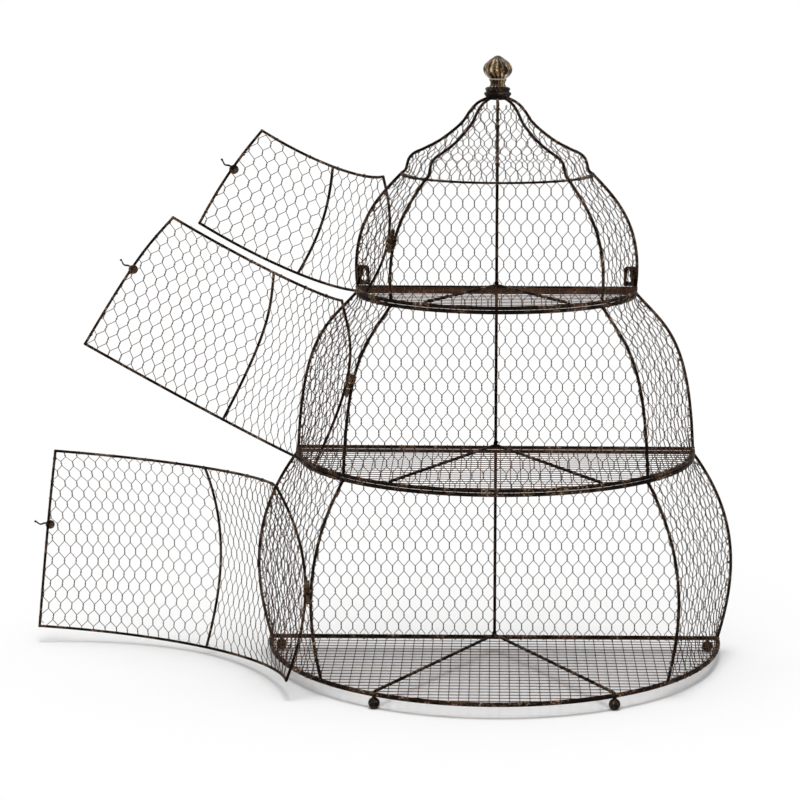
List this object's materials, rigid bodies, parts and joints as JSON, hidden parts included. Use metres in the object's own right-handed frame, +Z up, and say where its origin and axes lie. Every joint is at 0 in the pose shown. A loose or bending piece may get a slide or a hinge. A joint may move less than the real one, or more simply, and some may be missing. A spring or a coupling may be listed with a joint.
{
  "type": "bird cage",
  "caption": "Half-round wire bird cage in stacked tiers under a ribbed dome, flat at the back for a wall, with bowed netted doors and a glass finial.",
  "frame": {"origin": "on the rear of the lowest back bar, at its middle, in the plane of the wall", "axes": "+Z up; +Y out of the flat back, towards the wall; the bowed front faces -Y; +X to the right of someone who faces the front"},
  "size_m": [0.9482, 0.3655, 0.7985],
  "materials": {
    "iron_rod": "dark brown-black, rubbed lighter in places",
    "hex_wire": "dull grey-brown",
    "floor_wire": "dull grey-brown",
    "cast_trim": "dark, satin",
    "amber_glass": "ribbed amber glass, glossy"
  },
  "bodies": {
    "cage": {"lower_floor_frame": "iron_rod", "lower_floor_mesh": "floor_wire", "lower_rib_right": "iron_rod", "lower_jamb_right": "iron_rod", "lower_jamb_left": "iron_rod", "lower_rib_left": "iron_rod", "lower_spine": "iron_rod", "lower_back_net": "hex_wire", "lower_side_net_right": "hex_wire", "lower_side_net_left": "hex_wire", "lower_hinge_spindle": "iron_rod", "middle_floor_frame": "iron_rod", "middle_floor_mesh": "floor_wire", "middle_rib_right": "iron_rod", "middle_jamb_right": "iron_rod", "middle_jamb_left": "iron_rod", "middle_rib_left": "iron_rod", "middle_spine": "iron_rod", "middle_back_net": "hex_wire", "middle_side_net_right": "hex_wire", "middle_side_net_left": "hex_wire", "middle_hinge_spindle": "iron_rod", "upper_floor_frame": "iron_rod", "upper_floor_mesh": "floor_wire", "upper_rib_right": "iron_rod", "upper_jamb_right": "iron_rod", "upper_jamb_left": "iron_rod", "upper_rib_left": "iron_rod", "upper_spine": "iron_rod", "upper_back_net": "hex_wire", "upper_side_net_right": "hex_wire", "upper_side_net_left": "hex_wire", "upper_hinge_spindle": "iron_rod", "lower_top_hoop": "iron_rod", "middle_top_hoop": "iron_rod", "ring": "iron_rod", "dome_rib_right": "iron_rod", "dome_rib_front_right": "iron_rod", "dome_rib_front": "iron_rod", "dome_rib_front_left": "iron_rod", "dome_rib_left": "iron_rod", "dome_net": "hex_wire", "collar": "cast_trim", "glass_finial": "amber_glass", "foot_front_right": "cast_trim", "foot_front_left": "cast_trim", "foot_back_right": "cast_trim", "foot_back_left": "cast_trim", "hanger_right": "iron_rod", "hanger_left": "iron_rod"},
    "lower_door": {"lower_door_frame": "iron_rod", "lower_door_net": "hex_wire"},
    "lower_hook": {"lower_latch_hook": "iron_rod"},
    "middle_door": {"middle_door_frame": "iron_rod", "middle_door_net": "hex_wire"},
    "middle_hook": {"middle_latch_hook": "iron_rod"},
    "upper_door": {"upper_door_frame": "iron_rod", "upper_door_net": "hex_wire"},
    "upper_hook": {"upper_latch_hook": "iron_rod"}
  },
  "joints": [
    {"name": "lower_door_hinge", "type": "hinge", "parent": "cage", "child": "lower_door", "pos_m": [-0.23539, -0.2225, 0.1201], "axis": [0.0218, 0.0823, 0.9964], "range_deg": [-8, 215.7]},
    {"name": "lower_hook_rivet", "type": "hinge", "parent": "lower_door", "child": "lower_hook", "pos_m": [-0.60698, 0.05187, 0.13923], "axis": [-0.1811, 0.982, 0.0538], "range_deg": [-90, 90]},
    {"name": "middle_door_hinge", "type": "hinge", "parent": "cage", "child": "middle_door", "pos_m": [-0.18491, -0.17543, 0.37618], "axis": [0.2174, 0.186, 0.9582], "range_deg": [-15, 204.1]},
    {"name": "middle_hook_rivet", "type": "hinge", "parent": "middle_door", "child": "middle_hook", "pos_m": [-0.47812, -0.00283, 0.49757], "axis": [-0.2214, 0.953, 0.2068], "range_deg": [-90, 90]},
    {"name": "upper_door_hinge", "type": "hinge", "parent": "cage", "child": "upper_door", "pos_m": [-0.13354, -0.12753, 0.55293], "axis": [0.195, 0.2319, 0.953], "range_deg": [-22, 203.9]},
    {"name": "upper_hook_rivet", "type": "hinge", "parent": "upper_door", "child": "upper_hook", "pos_m": [-0.34388, -0.0021, 0.62997], "axis": [-0.1902, 0.961, 0.2009], "range_deg": [-90, 90]}
  ]
}
